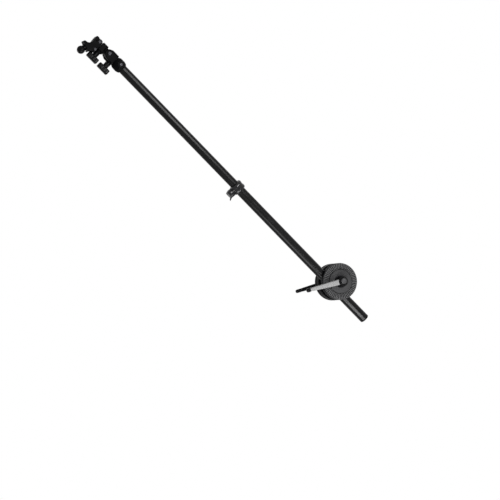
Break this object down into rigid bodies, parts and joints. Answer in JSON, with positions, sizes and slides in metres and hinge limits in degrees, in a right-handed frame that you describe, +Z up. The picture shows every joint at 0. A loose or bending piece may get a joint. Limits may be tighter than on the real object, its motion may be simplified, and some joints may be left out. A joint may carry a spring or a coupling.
{
  "type": "reflector bracket",
  "caption": "Telescopic reflector boom held in a disc grip on a stand socket, with a swivel and tilt spring jaw at its upper end.",
  "frame": {"origin": "middle of the stand socket's mouth, on its bottom rim", "axes": "+Z up along the stand socket, +X to the right and +Y away from the viewer, along the clamp discs' axis"},
  "size_m": [0.7601, 0.1342, 0.6896],
  "materials": {
    "casting": "satin black paint",
    "disc": "satin dark grey paint",
    "tube": "satin black anodised",
    "nylon": "moulded black nylon",
    "grey_nylon": "moulded grey nylon",
    "lever": "matte light grey",
    "steel": "plated",
    "brass": "turned",
    "rubber": "matte"
  },
  "bodies": {
    "stand_clamp": {"socket_casting": "casting", "clamp_stud": "steel", "friction_washer": "nylon"},
    "grip_head": {"rear_disc": "disc", "front_disc": "disc", "alignment_pin": "steel", "opening_spring": "steel", "thrust_washer": "steel"},
    "front_lever": {"lever_hub": "nylon", "hub_insert": "brass", "hub_button": "grey_nylon", "lever_bar": "lever", "lever_cap": "nylon"},
    "stud_lock": {"stud_lock_screw": "steel", "stud_lock_lever": "nylon"},
    "lower_boom": {"outer_tube": "tube", "tail_plug": "nylon", "lock_collar": "nylon", "collar_bush": "grey_nylon"},
    "collar_lock": {"collar_knob": "nylon", "collar_screw": "steel"},
    "upper_boom": {"inner_tube": "tube", "guide_plug": "grey_nylon", "end_fitting": "casting", "fitting_bolt": "steel", "fitting_nut": "steel"},
    "swivel_head": {"swivel_block": "casting", "tilt_bolt": "steel", "tilt_nut": "steel"},
    "swivel_lock": {"swivel_knob": "nylon", "swivel_screw": "steel"},
    "knuckle": {"tilt_knuckle": "casting"},
    "jaw": {"jaw_hub": "casting", "lower_jaw": "casting", "jaw_bolt": "steel", "jaw_nut": "steel", "hinge_pin": "steel", "closing_spring": "steel", "lower_pad": "rubber"},
    "jaw_lock": {"jaw_knob": "nylon", "jaw_screw": "steel"},
    "upper_jaw_lever": {"upper_jaw": "casting", "upper_pad": "rubber"},
    "gap_adjuster": {"gap_knob": "nylon", "gap_screw": "steel"}
  },
  "joints": [
    {"name": "boom_tilt", "type": "hinge", "parent": "stand_clamp", "child": "grip_head", "pos_m": [0, -0.0461, 0.04], "axis": [0, 1, 0], "continuous": true},
    {"name": "front_lever_turn", "type": "hinge", "parent": "grip_head", "child": "front_lever", "pos_m": [0, -0.0461, 0.04], "axis": [0, 1, 0], "range_deg": [-180, 180]},
    {"name": "stud_lock_turn", "type": "hinge", "parent": "stand_clamp", "child": "stud_lock", "pos_m": [0, 0, 0.04], "axis": [0, 1, 0], "range_deg": [-180, 180]},
    {"name": "boom_slide", "type": "slide", "parent": "grip_head", "child": "lower_boom", "axis": [0.7254, 0, -0.6884], "range_m": [-0.06, 0.275]},
    {"name": "collar_knob_turn", "type": "hinge", "parent": "lower_boom", "child": "collar_lock", "pos_m": [-0.26579, -0.0461, 0.27099], "axis": [0.6884, 0, 0.7254], "range_deg": [-180, 180]},
    {"name": "telescope", "type": "slide", "parent": "lower_boom", "child": "upper_boom", "axis": [0.7254, 0, -0.6884], "range_m": [-0.01, 0.37]},
    {"name": "head_swivel", "type": "hinge", "parent": "upper_boom", "child": "swivel_head", "pos_m": [-0.58234, -0.0461, 0.57139], "axis": [-0.7254, 0, 0.6884], "continuous": true},
    {"name": "swivel_knob_turn", "type": "hinge", "parent": "swivel_head", "child": "swivel_lock", "pos_m": [-0.58742, -0.0461, 0.57621], "axis": [0.6884, 0, 0.7254], "range_deg": [-180, 180]},
    {"name": "head_tilt", "type": "hinge", "parent": "swivel_head", "child": "knuckle", "pos_m": [-0.59866, -0.0461, 0.58688], "axis": [0, 1, 0], "range_deg": [-4, 65]},
    {"name": "jaw_swivel", "type": "hinge", "parent": "knuckle", "child": "jaw", "pos_m": [-0.60896, -0.0461, 0.59665], "axis": [-0.7254, 0, 0.6884], "range_deg": [-90, 90]},
    {"name": "jaw_knob_turn", "type": "hinge", "parent": "jaw", "child": "jaw_lock", "pos_m": [-0.61433, -0.0461, 0.60175], "axis": [0.6884, 0, 0.7254], "range_deg": [-180, 180]},
    {"name": "jaw_hinge", "type": "hinge", "parent": "jaw", "child": "upper_jaw_lever", "pos_m": [-0.62217, -0.0461, 0.6147], "axis": [0, 1, 0], "range_deg": [0, 35], "stiffness_Nm_per_rad": 0.06, "springref_deg": -34.38},
    {"name": "gap_knob_turn", "type": "hinge", "parent": "jaw", "child": "gap_adjuster", "pos_m": [-0.66721, -0.0461, 0.59513], "axis": [0.8434, 0, 0.5373], "range_deg": [-180, 180]}
  ]
}
